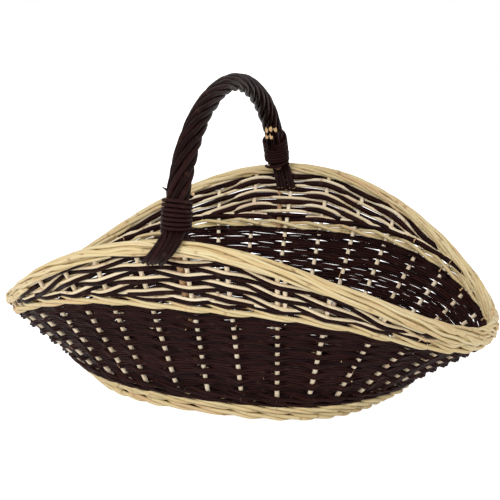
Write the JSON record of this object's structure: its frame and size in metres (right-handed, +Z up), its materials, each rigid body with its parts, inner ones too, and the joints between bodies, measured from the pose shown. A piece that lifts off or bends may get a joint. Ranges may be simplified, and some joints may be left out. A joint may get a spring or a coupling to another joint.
{
  "type": "foraging basket",
  "caption": "Boat-shaped woven willow basket with a saddle rim, dark and buff weave bands, a bundled border and a roped cross handle.",
  "frame": {"origin": "on the ground under the middle of the foot", "axes": "+X along the basket, +Y from the front to the back, +Z up"},
  "size_m": [0.5983, 0.4402, 0.3577],
  "materials": {
    "stake_willow": "peeled willow stake, satin",
    "foot_willow": "peeled willow rods with cut ends, satin",
    "dark_willow": "dark bark, semi-gloss",
    "wale_willow": "peeled willow, satin",
    "upper_willow": "peeled rods paired with dark bark rods, satin",
    "border_willow": "peeled willow strands laid together, satin",
    "stick_willow": "split and whole peeled sticks, matte",
    "bow_willow": "brown barked stick, satin",
    "roping_willow": "dark bark, semi-gloss",
    "binding_willow": "dark bark, semi-gloss"
  },
  "bodies": {
    "root": {"stake_01": "stake_willow", "stake_02": "stake_willow", "stake_03": "stake_willow", "stake_04": "stake_willow", "stake_05": "stake_willow", "stake_06": "stake_willow", "stake_07": "stake_willow", "stake_08": "stake_willow", "stake_09": "stake_willow", "stake_10": "stake_willow", "stake_11": "stake_willow", "stake_12": "stake_willow", "stake_13": "stake_willow", "stake_14": "stake_willow", "stake_15": "stake_willow", "stake_16": "stake_willow", "stake_17": "stake_willow", "stake_18": "stake_willow", "stake_19": "stake_willow", "stake_20": "stake_willow", "stake_21": "stake_willow", "stake_22": "stake_willow", "stake_23": "stake_willow", "stake_24": "stake_willow", "stake_25": "stake_willow", "stake_26": "stake_willow", "stake_27": "stake_willow", "stake_28": "stake_willow", "stake_29": "stake_willow", "stake_30": "stake_willow", "stake_31": "stake_willow", "stake_32": "stake_willow", "stake_33": "stake_willow", "stake_34": "stake_willow", "stake_35": "stake_willow", "stake_36": "stake_willow", "bye_stake_front": "stake_willow", "foot_wale": "foot_willow", "lower_weave": "dark_willow", "base_weave_lower": "dark_willow", "base_weave_upper": "dark_willow", "middle_wale": "wale_willow", "upper_weave_front": "upper_willow", "upper_weave_back": "upper_willow", "border_outer_rods": "border_willow", "border_inner_rods": "border_willow", "border_top_rods": "border_willow", "base_stick_frame": "stick_willow", "handle_bow": "bow_willow", "handle_roping_1": "roping_willow", "handle_roping_2": "roping_willow", "handle_roping_3": "roping_willow", "handle_roping_4": "roping_willow", "handle_roping_5": "roping_willow", "handle_roping_6": "roping_willow", "handle_roping_7": "roping_willow", "handle_binding_front": "binding_willow", "handle_binding_back": "binding_willow"}
  },
  "joints": []
}
